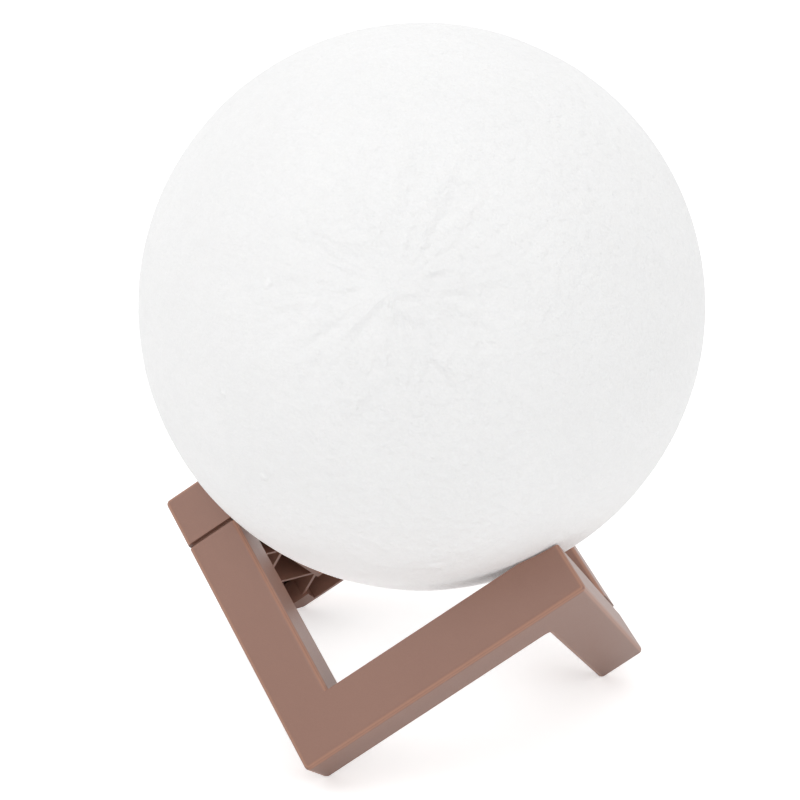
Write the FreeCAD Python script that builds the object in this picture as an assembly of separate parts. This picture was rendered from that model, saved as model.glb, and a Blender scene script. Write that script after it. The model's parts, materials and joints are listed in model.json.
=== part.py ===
"""Moon lamp: a hollow printed moon that rests loose in a two-piece zigzag stand.

The stand is a ring of six square bars that follow the edges of a cube standing on one corner.
It is drawn first in the cube's own axes, where every bar is straight, and the moon's base unit
is drawn on its own axis. Both are then turned into the lamp's frame: +Z up, the floor at z = 0,
the origin below the moon's centre, and the front foot of the stand towards -Y.
"""
import FreeCAD, Part

import math
import os

Vector = FreeCAD.Vector

# ---------------------------------------------------------------- driving dimensions, mm

# Moon
MOON_R = 75.0               # outside of the printed shell, to the tops of its relief
SHELL_WALL = 2.0

# Stand, in cube axes: x towards the front, y to the right and up, z to the left and up
EDGE = 84.0                 # outside edge of the cube
BAR = 14.9                  # width of a bar, along y or z
DEPTH = 15.5                # depth of the arms, along x
WALL = 1.3                  # wall of the moulding
RIB = 1.0                   # zigzag stiffening rib
RIB_SHORT = 0.8             # a rib stops this far below the open side
ZIGZAG_PITCH = 28.3         # length of one full turn of the ribs
LONG_BAR_START = 25.7       # first turning point, from the bar's back end
LONG_BAR_TURNS = 5          # turning points in its trough; the fourth is at the inner corner
RIGHT_ARM_START = 16.1      # first turning point, from the front corner
RIGHT_ARM_TURNS = 4
JOINT_GAP = 1.2             # gap left between the halves where they plug together
TENON_LENGTH = 9.0
TENON_PLAY = 0.1            # play along x; along y the tenon is tight
EDGE_ROUND = 1.4
CORNER_ROUND = 2.2          # front half, top edge of the bar that ends under the moon
FOOT_FLAT = 1.5             # how much of each foot's corner is cut flat for the floor
PAST = 1.0                  # how far a cutting shape runs past the face it cuts through

# Seats: shallow dishes in the three upper corners, which the moon lies in
SEAT_PLAY = 0.3
MOON_CENTRE = Vector(86.3, 87.2, 88.8)      # in cube axes
SEAT_BLOCK = 7.0            # solid corners, so that no seat cuts through a wall

# Direction of the base unit, seen from the moon's centre
BASE_TURN = 14.4            # degrees from +Y towards -X
BASE_DIP = 18.9             # degrees below level

# Base unit: radii from its axis, heights from the moon's centre outwards
OPENING_R = 23.0            # round opening in the shell
COLLAR_R = 25.0
FLANGE_R = 18.9             # inside of the shell's flange
FLANGE_LOW = 62.4
FLANGE_TOP = 64.9
COVER_R = 22.7
COVER_LOW = 66.4
COVER_TOP = 70.4
COVER_ROUND = 0.8
CUP_R = 18.6
CUP_WALL = 1.4
CUP_END = 38.0              # closed end, which faces the moon's centre
CUP_FLOOR = 1.6
SHELF_WIDTH = 1.5
SHELF_THICK = 1.6

BOARD_R = 16.9
BOARD_LOW = 57.6
BOARD_THICK = 1.6

BUTTON_R = 5.0
BUTTON_PLAY = 0.06          # running clearance in the cover, on the radius
BUTTON_PROUD = 0.6
BUTTON_TRAVEL = 1.0
BUTTON_LIP_R = 6.3
BUTTON_LIP_THICK = 1.5
BUTTON_LIP_GAP = 0.05
BUTTON_STEM_R = 3.0
BUTTON_STEM_LAP = 0.2       # how far the stem reaches into the lip, to join it
BUTTON_LOW = 64.2
BUTTON_ROUND = 0.5

SWITCH_SIDE = 6.0
SWITCH_HEIGHT = 3.5
PLUNGER_R = 1.7
PLUNGER_PLAY = 0.06
PLUNGER_HIDDEN = 1.1        # length inside the switch at rest
PLUNGER_SPARE = 0.2         # depth left in the switch when the button is fully in
PLUNGER_BORE = PLUNGER_HIDDEN + BUTTON_TRAVEL + PLUNGER_SPARE

SOCKET_V = -11.5            # the socket's place on the board, down from the centre
SOCKET_LONG = 9.2
SOCKET_SHORT = 3.4
SOCKET_WALL = 0.4
SOCKET_SINK = 0.8           # the socket's mouth is this far below the cover's face
SOCKET_DEEP = 6.5
SOCKET_ROUND = 1.2
SLOT_PLAY = 0.25            # slot in the cover, round the socket
TONGUE = (6.7, 0.7, 5.4)

PIPE_AT = (9.5, -9.5)
PIPE_R = 1.25
PIPE_SHOULDER_R = 2.2
PIPE_SHOULDER = 1.0
PIPE_PLAY = 0.05
PIPE_GAP = 0.2              # between the indicator light and the rod
LAMP_SIZE = (2.0, 1.2, 0.8)  # indicator light on the board

SCREW_R = 0.95
SCREW_HOLE_R = 1.0
SCREW_HEAD_R = 1.9
SCREW_HEAD = 1.2
SCREW_TIP_SHORT = 0.3       # a tip stops this far short of the far face of what it holds
SCREW_SHANK_LAP = 0.2       # a countersunk screw's shank stops this far below its head's face
RECESS_DEEP = 0.7           # cross slot for the driver
RECESS_ARM = 2.2
RECESS_WIDTH = 0.5
COVER_SCREW_PCD_R = 20.4
COVER_SCREW_COUNT = 3
BOARD_SCREW_R = 14.4        # radius at which the board's two screws stand
BOARD_SCREW_ANGLES = (45.0, 225.0)
LUG_R = 2.4
LUG_LOW = 51.5
LUG_END = 1.0               # thickness of the closed end of a lug's screw hole
LUG_SCREW_SHORT = 1.5       # the board screws' tips stop this far above the lugs' closed ends

BATTERY = (26.0, 20.0, 9.0)
BATTERY_ROUND = 2.0
FOAM = (24.0, 18.0, 1.5)
LEAD_R = 0.6
BATTERY_LEADS_AT = ((9.0, 2.0), (9.0, -2.0))
LIGHT_LEAD_U = -15.0
LIGHT_LEADS_AT = ((LIGHT_LEAD_U, 1.3), (LIGHT_LEAD_U, -1.3))
LIGHT_LEAD_HOLE_R = 2.1

CHARGER_CHIP = ((-8.5, 3.5), (5.0, 4.0, 1.5))       # place on the board, size
COIL = ((7.5, 4.0), (4.0, 4.0, 2.0))
CAPACITOR_R = 1.6
CAPACITOR_HEIGHT = 3.0
CAPACITORS_AT = ((-4.5, 10.5), (0.0, 11.5))
RESISTOR = (1.0, 2.0, 0.6)
RESISTOR_COUNT = 4
RESISTOR_PITCH = 2.2
RESISTORS_FROM = (-12.5, -3.5)

LIGHT_BOARD_R = 15.8
LIGHT_BOARD_THICK = 1.6
LIGHT_SCREW_AT = 12.5
CHIP = (5.0, 5.0, 1.6)
CHIP_COUNT = 6
CHIP_CIRCLE_R = 8.6

DIFFUSER_WALL = 1.2
DIFFUSER_STRAIGHT = 4.0
DIFFUSER_RISE = 10.0


# ---------------------------------------------------------------- small helpers

def box(x, y, z):
    """Box between three (low, high) pairs."""
    return Part.makeBox(x[1] - x[0], y[1] - y[0], z[1] - z[0], Vector(x[0], y[0], z[0]))


def plate(centre, size, low):
    """Box of size (u, v, height), centred on a point of the base axis plane, from a height up."""
    u, v = centre
    return box((u - size[0] / 2, u + size[0] / 2), (v - size[1] / 2, v + size[1] / 2),
               (low, low + size[2]))


def disc(radius, low, top, at=(0.0, 0.0)):
    """Cylinder along the base axis, between two heights."""
    return Part.makeCylinder(radius, top - low, Vector(at[0], at[1], low), Vector(0, 0, 1))


def on_circle(radius, degrees):
    turn = math.radians(degrees)
    return (radius * math.cos(turn), radius * math.sin(turn))


def fuse_all(shapes):
    whole = shapes[0]
    for shape in shapes[1:]:
        whole = whole.fuse(shape)
    return whole.removeSplitter()


def cut_all(whole, shapes):
    for shape in shapes:
        whole = whole.cut(shape)
    return whole


def wall_between(start, end, low, top):
    """Upright rib of thickness RIB between two points (x, y), from height low to top."""
    along = Vector(end[0] - start[0], end[1] - start[1], 0)
    side = Vector(-along.y, along.x, 0).normalize() * (RIB / 2)
    first = Vector(start[0], start[1], low)
    corners = [first + side, first + along + side, first + along - side, first - side]
    face = Part.Face(Part.makePolygon(corners + [corners[0]]))
    return face.extrude(Vector(0, 0, top - low))


# ---------------------------------------------------------------- the stand, in cube axes

def lies_on(edge, axis, value):
    """True where a straight edge lies in the plane axis = value."""
    return all(abs(getattr(vertex.Point, axis) - value) < 1e-6 for vertex in edge.Vertexes)


def stand_half():
    """One half, in the front one's place: an arm along z, an arm along y and a bar along x.

    It is moulded as an open trough that faces +z. The arm along z is a hollow column, and the
    back end of the long bar carries a square tube, the tenon, for the other half's column.
    """
    inner_x = EDGE - DEPTH
    inner_y = EDGE - BAR
    column_top = EDGE - BAR
    outside = fuse_all([
        box((inner_x, EDGE), (0, BAR), (0, column_top)),
        box((inner_x, EDGE), (0, EDGE), (0, BAR)),
        box((0, EDGE), (inner_y, EDGE), (0, BAR)),
    ])
    rounded = [edge for edge in outside.Edges
               if not lies_on(edge, "z", BAR) and not lies_on(edge, "z", column_top)]
    outside = outside.makeFillet(EDGE_ROUND, rounded)

    above = EDGE + BAR
    pocket_wall = 2 * WALL + TENON_PLAY
    hollows = [
        box((inner_x + WALL, EDGE - WALL), (WALL, BAR - WALL), (WALL, above)),
        box((inner_x + WALL, EDGE - WALL), (BAR, EDGE - WALL), (WALL, above)),
        box((DEPTH, EDGE - WALL), (inner_y + WALL, EDGE - WALL), (WALL, above)),
        box((pocket_wall, DEPTH - pocket_wall), (inner_y + 2 * WALL, EDGE - 2 * WALL),
            (WALL, above)),
    ]
    half = cut_all(outside, hollows).fuse(seat_blocks(inner_x, inner_y).common(outside))

    tenon = box((WALL + TENON_PLAY, DEPTH - WALL - TENON_PLAY),
                (inner_y + WALL, EDGE - WALL),
                (BAR - WALL, BAR + JOINT_GAP + TENON_LENGTH))
    bore = hollows[3]
    half = half.fuse(tenon.cut(bore))
    return fuse_all([half] + stand_ribs(inner_x, inner_y))


def seat_blocks(inner_x, inner_y):
    """Solid corners of a half: one is a seat in the front half, the other two in the rear half."""
    return Part.makeCompound([
        box((EDGE - SEAT_BLOCK, EDGE), (EDGE - SEAT_BLOCK, EDGE), (BAR - SEAT_BLOCK, BAR)),
        box((0, SEAT_BLOCK), (inner_y, inner_y + SEAT_BLOCK), (0, SEAT_BLOCK)),
        box((inner_x, inner_x + SEAT_BLOCK), (0, SEAT_BLOCK), (0, SEAT_BLOCK)),
    ])


def corner_waste():
    """What rounding takes off the front half's long bar, along its top outer edge."""
    low = EDGE - CORNER_ROUND
    square = box((-PAST, EDGE + PAST), (low, EDGE + PAST), (BAR - CORNER_ROUND, BAR + PAST))
    kept = Part.makeCylinder(CORNER_ROUND, EDGE + 4 * PAST,
                             Vector(-2 * PAST, low, BAR - CORNER_ROUND), Vector(1, 0, 0))
    return square.cut(kept)


def zigzag(near, far, start, turns):
    """Turning points of a zigzag: (along, across), changing side every half pitch."""
    return [(start + step * ZIGZAG_PITCH / 2, near if step % 2 == 0 else far)
            for step in range(turns)]


def stand_ribs(inner_x, inner_y):
    """Zigzag ribs in both troughs, from the floor of the moulding to just below its rim."""
    low = WALL / 2
    top = BAR - RIB_SHORT
    reach = WALL / 2
    long_bar = zigzag(EDGE - reach, inner_y + reach, LONG_BAR_START, LONG_BAR_TURNS)
    right_arm = zigzag(inner_x + reach, EDGE - reach, RIGHT_ARM_START, RIGHT_ARM_TURNS)
    ribs = [wall_between(start, end, low, top) for start, end in zip(long_bar, long_bar[1:])]
    for start, end in zip(right_arm, right_arm[1:]):
        ribs.append(wall_between((start[1], start[0]), (end[1], end[0]), low, top))
    return ribs


def turned_through_centre(half):
    """The rear half: every point of a half taken through the cube's centre."""
    centre = Vector(EDGE / 2, EDGE / 2, EDGE / 2)
    turned = half
    for axis in (Vector(1, 0, 0), Vector(0, 1, 0), Vector(0, 0, 1)):
        turned = turned.mirror(centre, axis)
    turned.translate(Vector(0, 0, JOINT_GAP))
    return turned


# ---------------------------------------------------------------- from cube axes to the lamp's frame

def lamp_axes():
    """Unit vectors of the lamp's frame in cube axes, and the origin below the moon's centre.

    The stand settles on the lowest corner of each foot, so these three corners set the level.
    """
    feet = [
        Vector(EDGE - DEPTH, 0, 0),
        Vector(0, EDGE - BAR, 0),
        Vector(0, 0, EDGE - BAR + JOINT_GAP),
    ]
    up = (feet[1] - feet[0]).cross(feet[2] - feet[0]).normalize()
    drop = (MOON_CENTRE - feet[0]).dot(up)
    below_moon = MOON_CENTRE - up * drop
    back = (below_moon - feet[0]).normalize()
    right = back.cross(up)
    origin = below_moon + up * FOOT_FLAT
    return right, back, up, origin


def to_lamp(shape, right, back, up, origin):
    """Turn a shape from cube axes into the lamp's frame."""
    matrix = FreeCAD.Matrix(
        right.x, right.y, right.z, -right.dot(origin),
        back.x, back.y, back.z, -back.dot(origin),
        up.x, up.y, up.z, -up.dot(origin),
        0, 0, 0, 1)
    moved = shape.copy()
    moved.transformShape(matrix, True)
    return moved


def base_axes():
    """Unit vectors u (level), v (upwards) and w (outwards) of the base unit, in the lamp's frame."""
    turn = math.radians(BASE_TURN)
    dip = math.radians(BASE_DIP)
    outward = Vector(-math.sin(turn) * math.cos(dip), math.cos(turn) * math.cos(dip), -math.sin(dip))
    level = Vector(-math.cos(turn), -math.sin(turn), 0)
    return level, outward.cross(level), outward


def from_base(shape, moon_height):
    """Turn a shape from the base unit's axes into the lamp's frame."""
    u, v, w = base_axes()
    matrix = FreeCAD.Matrix(
        u.x, v.x, w.x, 0,
        u.y, v.y, w.y, 0,
        u.z, v.z, w.z, moon_height,
        0, 0, 0, 1)
    moved = shape.copy()
    moved.transformShape(matrix, True)
    return moved


# ---------------------------------------------------------------- the moon, on the base axis

def cover_screw_places():
    step = 360.0 / COVER_SCREW_COUNT
    return [on_circle(COVER_SCREW_PCD_R, 90 + step * number) for number in range(COVER_SCREW_COUNT)]


def board_screw_places():
    return [on_circle(BOARD_SCREW_R, angle) for angle in BOARD_SCREW_ANGLES]


def light_screw_places():
    return [(0.0, LIGHT_SCREW_AT), (0.0, -LIGHT_SCREW_AT)]


def moon_shell():
    """Printed shell with a round opening, a collar round it and a flange for the base unit."""
    centre = Vector(0, 0, 0)
    outer = Part.makeSphere(MOON_R, centre, Vector(0, 0, 1))
    inner = Part.makeSphere(MOON_R - SHELL_WALL, centre, Vector(0, 0, 1))
    within = Part.makeSphere(MOON_R - SHELL_WALL / 2, centre, Vector(0, 0, 1))
    collar = disc(COLLAR_R, FLANGE_LOW, MOON_R).common(within)
    shell = outer.cut(inner).fuse(collar)
    shell = shell.cut(disc(OPENING_R, FLANGE_TOP, MOON_R + PAST))
    shell = shell.cut(disc(FLANGE_R, FLANGE_LOW - PAST, FLANGE_TOP + PAST))
    for place in cover_screw_places():
        shell = shell.cut(disc(SCREW_HOLE_R, FLANGE_LOW - PAST, FLANGE_TOP + PAST, place))
    return shell


def base_cup():
    """Can that hangs in the opening and holds the battery and the boards."""
    inside = CUP_R - CUP_WALL
    cup = disc(CUP_R, CUP_END, COVER_LOW).fuse(disc(COVER_R, FLANGE_TOP, COVER_LOW))
    cup = cup.cut(disc(inside, CUP_END + CUP_FLOOR, COVER_LOW + PAST))
    shelf_low = BOARD_LOW - SHELF_THICK
    shelf = disc(CUP_R - CUP_WALL / 2, shelf_low, BOARD_LOW)
    shelf = shelf.cut(disc(inside - SHELF_WIDTH, shelf_low - PAST, BOARD_LOW + PAST))
    cup = cup.fuse(shelf)
    within = disc(CUP_R - CUP_WALL / 2, LUG_LOW, BOARD_LOW)
    for place in board_screw_places():
        cup = cup.fuse(disc(LUG_R, LUG_LOW, BOARD_LOW, place).common(within))
    for place in board_screw_places():
        cup = cup.cut(disc(SCREW_HOLE_R, LUG_LOW + LUG_END, BOARD_LOW + PAST, place))
    for place in cover_screw_places():
        cup = cup.cut(disc(SCREW_HOLE_R, FLANGE_TOP - PAST, COVER_LOW + PAST, place))
    for place in light_screw_places():
        cup = cup.cut(disc(SCREW_HOLE_R, CUP_END - PAST, CUP_END + CUP_FLOOR + PAST, place))
    lead_hole = disc(LIGHT_LEAD_HOLE_R, CUP_END - PAST, CUP_END + CUP_FLOOR + PAST,
                     (LIGHT_LEAD_U, 0.0))
    lead_hole = lead_hole.common(disc(inside, CUP_END - 2 * PAST, CUP_END + CUP_FLOOR + 2 * PAST))
    return cup.cut(lead_hole).removeSplitter()


def rounded_slot(length, width, low, top, centre_v):
    """Slot with half-round ends, along u."""
    half_run = (length - width) / 2
    radius = width / 2
    middle = plate((0.0, centre_v), (2 * half_run, width, top - low), low)
    ends = [disc(radius, low, top, (side * half_run, centre_v)) for side in (-1, 1)]
    return fuse_all([middle] + ends)


def base_cover():
    """Round cover with the button's hole, the charging slot, the light's hole and three screws."""
    cover = disc(COVER_R, COVER_LOW, COVER_TOP)
    rim = [edge for edge in cover.Edges
           if all(abs(vertex.Point.z - COVER_TOP) < 1e-6 for vertex in edge.Vertexes)]
    cover = cover.makeFillet(COVER_ROUND, rim)
    cover = cover.cut(disc(BUTTON_R + BUTTON_PLAY, COVER_LOW - PAST, COVER_TOP + PAST))
    slot = rounded_slot(SOCKET_LONG + 2 * SLOT_PLAY, SOCKET_SHORT + 2 * SLOT_PLAY,
                        COVER_LOW - PAST, COVER_TOP + PAST, SOCKET_V)
    cover = cover.cut(slot)
    cover = cover.cut(disc(PIPE_R + PIPE_PLAY, COVER_LOW - PAST, COVER_TOP + PAST, PIPE_AT))
    for place in cover_screw_places():
        cover = cover.cut(disc(SCREW_HOLE_R, COVER_LOW - PAST, COVER_TOP + PAST, place))
        cover = cover.cut(screw_cone(place))
    return cover


def screw_cone(place):
    """Countersunk head: wide at the cover's face, narrowing inwards."""
    return Part.makeCone(SCREW_HOLE_R, SCREW_HEAD_R, SCREW_HEAD,
                         Vector(place[0], place[1], COVER_TOP - SCREW_HEAD), Vector(0, 0, 1))


def cross_recess(place, top, direction):
    """Cross slot for the driver, sunk from a head's outer face; direction is outwards, +1 or -1."""
    floor = top - direction * RECESS_DEEP
    above = top + direction * PAST
    low = min(floor, above)
    height = abs(above - floor)
    lengthways = plate(place, (RECESS_ARM, RECESS_WIDTH, height), low)
    across = plate(place, (RECESS_WIDTH, RECESS_ARM, height), low)
    return lengthways.fuse(across)


def cover_screws():
    """Three countersunk screws through the cover and the cup into the shell's flange."""
    screws = []
    for place in cover_screw_places():
        screw = screw_cone(place).fuse(disc(SCREW_R, FLANGE_LOW + SCREW_TIP_SHORT,
                                          COVER_TOP - SCREW_SHANK_LAP, place))
        screws.append(screw.cut(cross_recess(place, COVER_TOP, 1)).removeSplitter())
    return Part.makeCompound(screws)


def pan_screws(places, seat, tip, outward):
    """Pan-head screws whose heads lie on the height seat; outward is +1 or -1 along the axis."""
    screws = []
    for place in places:
        head_far = seat + outward * SCREW_HEAD
        head = disc(SCREW_HEAD_R, min(seat, head_far), max(seat, head_far), place)
        shank = disc(SCREW_R, min(seat, tip), max(seat, tip), place)
        screw = head.fuse(shank).cut(cross_recess(place, head_far, outward))
        screws.append(screw.removeSplitter())
    return Part.makeCompound(screws)


def push_button():
    """Round cap that slides in the cover, kept in by the lip below it."""
    lip_top = COVER_LOW - BUTTON_LIP_GAP
    lip_low = lip_top - BUTTON_LIP_THICK
    cap = disc(BUTTON_R, lip_low, COVER_TOP + BUTTON_PROUD)
    face_rim = [edge for edge in cap.Edges
                if all(vertex.Point.z > COVER_TOP for vertex in edge.Vertexes)]
    cap = cap.makeFillet(BUTTON_ROUND, face_rim)
    lip = disc(BUTTON_LIP_R, lip_low, lip_top)
    stem = disc(BUTTON_STEM_R, BUTTON_LOW, lip_low + BUTTON_STEM_LAP)
    return fuse_all([cap, lip, stem])


def control_board():
    """Round board on the cup's shelf, which carries the switch, the socket and the charger."""
    board = disc(BOARD_R, BOARD_LOW, BOARD_LOW + BOARD_THICK)
    for place in board_screw_places():
        board = board.cut(disc(SCREW_HOLE_R, BOARD_LOW - PAST, BOARD_LOW + BOARD_THICK + PAST, place))
    return board


def board_components(top):
    """Charger chip, coil, two capacitors and a row of small resistors on the board."""
    parts = [plate(place, size, top) for place, size in (CHARGER_CHIP, COIL)]
    for place in CAPACITORS_AT:
        parts.append(disc(CAPACITOR_R, top, top + CAPACITOR_HEIGHT, place))
    for number in range(RESISTOR_COUNT):
        place = (RESISTORS_FROM[0] + number * RESISTOR_PITCH, RESISTORS_FROM[1])
        parts.append(plate(place, RESISTOR, top))
    return Part.makeCompound(parts)


def tactile_switch(top):
    """Square switch body with a round well for its plunger."""
    body = plate((0.0, 0.0), (SWITCH_SIDE, SWITCH_SIDE, SWITCH_HEIGHT), top)
    high = top + SWITCH_HEIGHT
    return body.cut(disc(PLUNGER_R + PLUNGER_PLAY, high - PLUNGER_BORE, high + PAST))


def charging_socket(top):
    """Metal shell of the charging socket, open outwards."""
    mouth = COVER_TOP - SOCKET_SINK
    body = plate((0.0, SOCKET_V), (SOCKET_LONG, SOCKET_SHORT, mouth - top), top)
    upright = [edge for edge in body.Edges
               if abs(edge.Vertexes[0].Point.z - edge.Vertexes[1].Point.z) > 1]
    body = body.makeFillet(SOCKET_ROUND, upright)
    well = rounded_slot(SOCKET_LONG - 2 * SOCKET_WALL, SOCKET_SHORT - 2 * SOCKET_WALL,
                        mouth - SOCKET_DEEP, mouth + PAST, SOCKET_V)
    return body.cut(well)


def socket_tongue():
    """Contact tongue that stands in the socket."""
    bottom = COVER_TOP - SOCKET_SINK - SOCKET_DEEP
    return plate((0.0, SOCKET_V), TONGUE, bottom)


def light_pipe(top):
    """Clear rod that brings the indicator light to the cover's face, with a shoulder under it."""
    rod = disc(PIPE_R, top + LAMP_SIZE[2] + PIPE_GAP, COVER_TOP, PIPE_AT)
    shoulder = disc(PIPE_SHOULDER_R, COVER_LOW - PIPE_SHOULDER, COVER_LOW, PIPE_AT)
    return fuse_all([rod, shoulder])


def battery():
    """Flat rechargeable cell on its foam pad."""
    low = CUP_END + CUP_FLOOR + FOAM[2]
    cell = plate((0.0, 0.0), BATTERY, low)
    upright = [edge for edge in cell.Edges
               if abs(edge.Vertexes[0].Point.z - edge.Vertexes[1].Point.z) > 1]
    return cell.makeFillet(BATTERY_ROUND, upright)


def leads(places, low, top):
    """Insulated leads that run straight between two parts."""
    return Part.makeCompound([disc(LEAD_R, low, top, place) for place in places])


def light_board():
    board = disc(LIGHT_BOARD_R, CUP_END - LIGHT_BOARD_THICK, CUP_END)
    for place in light_screw_places():
        board = board.cut(disc(SCREW_HOLE_R, CUP_END - LIGHT_BOARD_THICK - PAST,
                               CUP_END + PAST, place))
    return board


def light_chips():
    """Ring of square light chips that face the moon's centre."""
    low = CUP_END - LIGHT_BOARD_THICK - CHIP[2]
    chips = []
    for number in range(CHIP_COUNT):
        place = on_circle(CHIP_CIRCLE_R, number * 360.0 / CHIP_COUNT)
        chips.append(plate(place, CHIP, low))
    return Part.makeCompound(chips)


def dome(radius, straight_low, rise, rim):
    """Closed dome that points inwards: a straight wall from rim down, then a ball-shaped end."""
    ball_r = (radius ** 2 + rise ** 2) / (2 * rise)
    ball = Part.makeSphere(ball_r, Vector(0, 0, straight_low - rise + ball_r), Vector(0, 0, 1))
    end = ball.common(disc(radius, straight_low - rise - PAST, straight_low))
    return end.fuse(disc(radius, straight_low, rim)).removeSplitter()


def light_diffuser():
    """Frosted cap over the light chips, glued to the cup's closed end."""
    straight_low = CUP_END - DIFFUSER_STRAIGHT
    outer = dome(CUP_R, straight_low, DIFFUSER_RISE, CUP_END)
    inner = dome(CUP_R - DIFFUSER_WALL, straight_low, DIFFUSER_RISE - DIFFUSER_WALL, CUP_END + PAST)
    return outer.cut(inner)


# ---------------------------------------------------------------- assembly

def stand_nodes(right, back, up, origin):
    """Both halves in the lamp's frame, with the seats dished and the feet cut flat."""
    half = stand_half()
    front = half.cut(corner_waste())
    rear = turned_through_centre(half)
    seat = Part.makeSphere(MOON_R + SEAT_PLAY, MOON_CENTRE, Vector(0, 0, 1))
    below_floor = box((-2 * EDGE, 2 * EDGE), (-2 * EDGE, 2 * EDGE), (-EDGE, 0))
    nodes = {}
    for name, piece in (("stand_front_half", front), ("stand_rear_half", rear)):
        seated = to_lamp(piece.cut(seat), right, back, up, origin)
        nodes[name] = seated.cut(below_floor)
    return nodes


def moon_nodes(moon_height):
    """Every piece of the moon, in the lamp's frame."""
    board_top = BOARD_LOW + BOARD_THICK
    cup_floor_top = CUP_END + CUP_FLOOR
    switch_top = board_top + SWITCH_HEIGHT
    light_face = CUP_END - LIGHT_BOARD_THICK
    pieces = {
        "moon_shell": moon_shell(),
        "base_cup": base_cup(),
        "base_cover": base_cover(),
        "cover_screws": cover_screws(),
        "push_button": push_button(),
        "switch_plunger": disc(PLUNGER_R, switch_top - PLUNGER_HIDDEN, BUTTON_LOW),
        "tactile_switch": tactile_switch(board_top),
        "control_board": control_board(),
        "board_screws": pan_screws(board_screw_places(), board_top, LUG_LOW + LUG_SCREW_SHORT, 1),
        "board_components": board_components(board_top),
        "charging_socket": charging_socket(board_top),
        "socket_tongue": socket_tongue(),
        "indicator_light": plate(PIPE_AT, LAMP_SIZE, board_top),
        "light_pipe": light_pipe(board_top),
        "battery": battery(),
        "battery_foam": plate((0.0, 0.0), FOAM, cup_floor_top),
        "battery_leads": leads(BATTERY_LEADS_AT, cup_floor_top + FOAM[2] + BATTERY[2], BOARD_LOW),
        "light_board": light_board(),
        "light_chips": light_chips(),
        "light_board_screws": pan_screws(light_screw_places(), light_face,
                                         cup_floor_top - SCREW_TIP_SHORT, -1),
        "light_leads": leads(LIGHT_LEADS_AT, CUP_END, BOARD_LOW),
        "light_diffuser": light_diffuser(),
    }
    return {name: from_base(piece, moon_height) for name, piece in pieces.items()}


def main():
    os.makedirs("parts", exist_ok=True)
    right, back, up, origin = lamp_axes()
    moon_height = (MOON_CENTRE - origin).dot(up)
    nodes = stand_nodes(right, back, up, origin)
    nodes.update(moon_nodes(moon_height))
    print("moon centre %.2f mm above the floor, its underside %.2f mm" %
          (moon_height, moon_height - MOON_R))
    for name, shape in nodes.items():
        shape.exportStep("parts/" + name + ".step")
        limits = shape.BoundBox
        print("%-20s valid %s solids %d volume %9.1f  x %.1f..%.1f y %.1f..%.1f z %.1f..%.1f" % (
            name, shape.isValid(), len(shape.Solids), shape.Volume, limits.XMin, limits.XMax,
            limits.YMin, limits.YMax, limits.ZMin, limits.ZMax))


main()
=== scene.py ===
# %% [markdown]
# # A moon lamp on its zigzag stand
#
# The object is a hollow white moon, printed in thin layers of plastic, that lies loose in a
# brown moulded stand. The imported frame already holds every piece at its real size: the two
# halves of the stand, the shell, and the small base unit at the back with its button, socket,
# boards and battery. This lesson gives the frame its looks. It models the moon's relief, writes
# one finish for each material, and sets up a floor, soft light and the camera.

# %% Load the frame
import json
import math

import bmesh
import bpy
from mathutils import Matrix, Vector, noise


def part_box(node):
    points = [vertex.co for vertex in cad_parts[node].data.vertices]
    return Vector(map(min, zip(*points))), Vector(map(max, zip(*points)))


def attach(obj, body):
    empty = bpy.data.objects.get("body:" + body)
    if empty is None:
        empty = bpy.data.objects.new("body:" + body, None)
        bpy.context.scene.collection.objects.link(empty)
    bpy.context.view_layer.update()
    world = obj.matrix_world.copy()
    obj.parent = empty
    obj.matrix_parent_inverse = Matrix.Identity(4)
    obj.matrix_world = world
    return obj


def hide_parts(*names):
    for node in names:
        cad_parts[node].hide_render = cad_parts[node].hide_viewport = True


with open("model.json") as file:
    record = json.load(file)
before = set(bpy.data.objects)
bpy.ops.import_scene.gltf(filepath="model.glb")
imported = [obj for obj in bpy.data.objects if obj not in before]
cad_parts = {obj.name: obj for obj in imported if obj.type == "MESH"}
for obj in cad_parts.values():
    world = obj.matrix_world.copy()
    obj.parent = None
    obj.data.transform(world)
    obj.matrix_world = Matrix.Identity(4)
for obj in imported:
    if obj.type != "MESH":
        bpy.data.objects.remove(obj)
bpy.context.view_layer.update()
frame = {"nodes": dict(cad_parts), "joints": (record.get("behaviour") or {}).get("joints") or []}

MM = 0.001

# %% [markdown]
# ## Where the moon is
#
# The middle of the shell's box is the ball's centre. The base unit lies on an axis of its own
# through that centre. The moon's relief is arranged round this axis too, because its map was
# wrapped round the ball from one end of it to the other: the end that faces the viewer is where
# the map's meridians meet. The joint of the button runs along the same axis, so the axis is read
# from the frame instead of being written here again.

# %% The moon's centre and the base unit's axis
shell_low, shell_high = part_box("moon_shell")
moon_centre = (shell_low + shell_high) / 2
MOON_RADIUS = 75 * MM
DOWN = Vector((0, 0, -1))
button_joint = next(joint for joint in frame["joints"] if joint["name"] == "button_press")
base_axis = -Vector(button_joint["axis"]).normalized()
print("moon centre", [round(value, 4) for value in moon_centre],
      "base axis", [round(value, 4) for value in base_axis])

# %% [markdown]
# ## The camera
#
# The photograph looks slightly down on the lamp from the front and a little to its right,
# through a long lens, and it is turned by about two degrees. The place, the lens and the turn
# were fitted to about twenty points and eleven edges of the stand, read off the photograph. The
# fit leaves the stand's points within about 3 pixels, so the numbers are close, not exact. A
# camera looks along its own -Z with +Y up, so its rotation is built from three directions:
# right, up and backwards.

# %% Place the camera
CAMERA_PLACE = Vector((147.1, -412.6, 234.5)) * MM
CAMERA_AIM = Vector((-1.7, -9.1, 86.7)) * MM
CAMERA_ROLL = math.radians(2.09)
LENS = 76.5
FARTHEST_SEEN = 20.0

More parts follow.
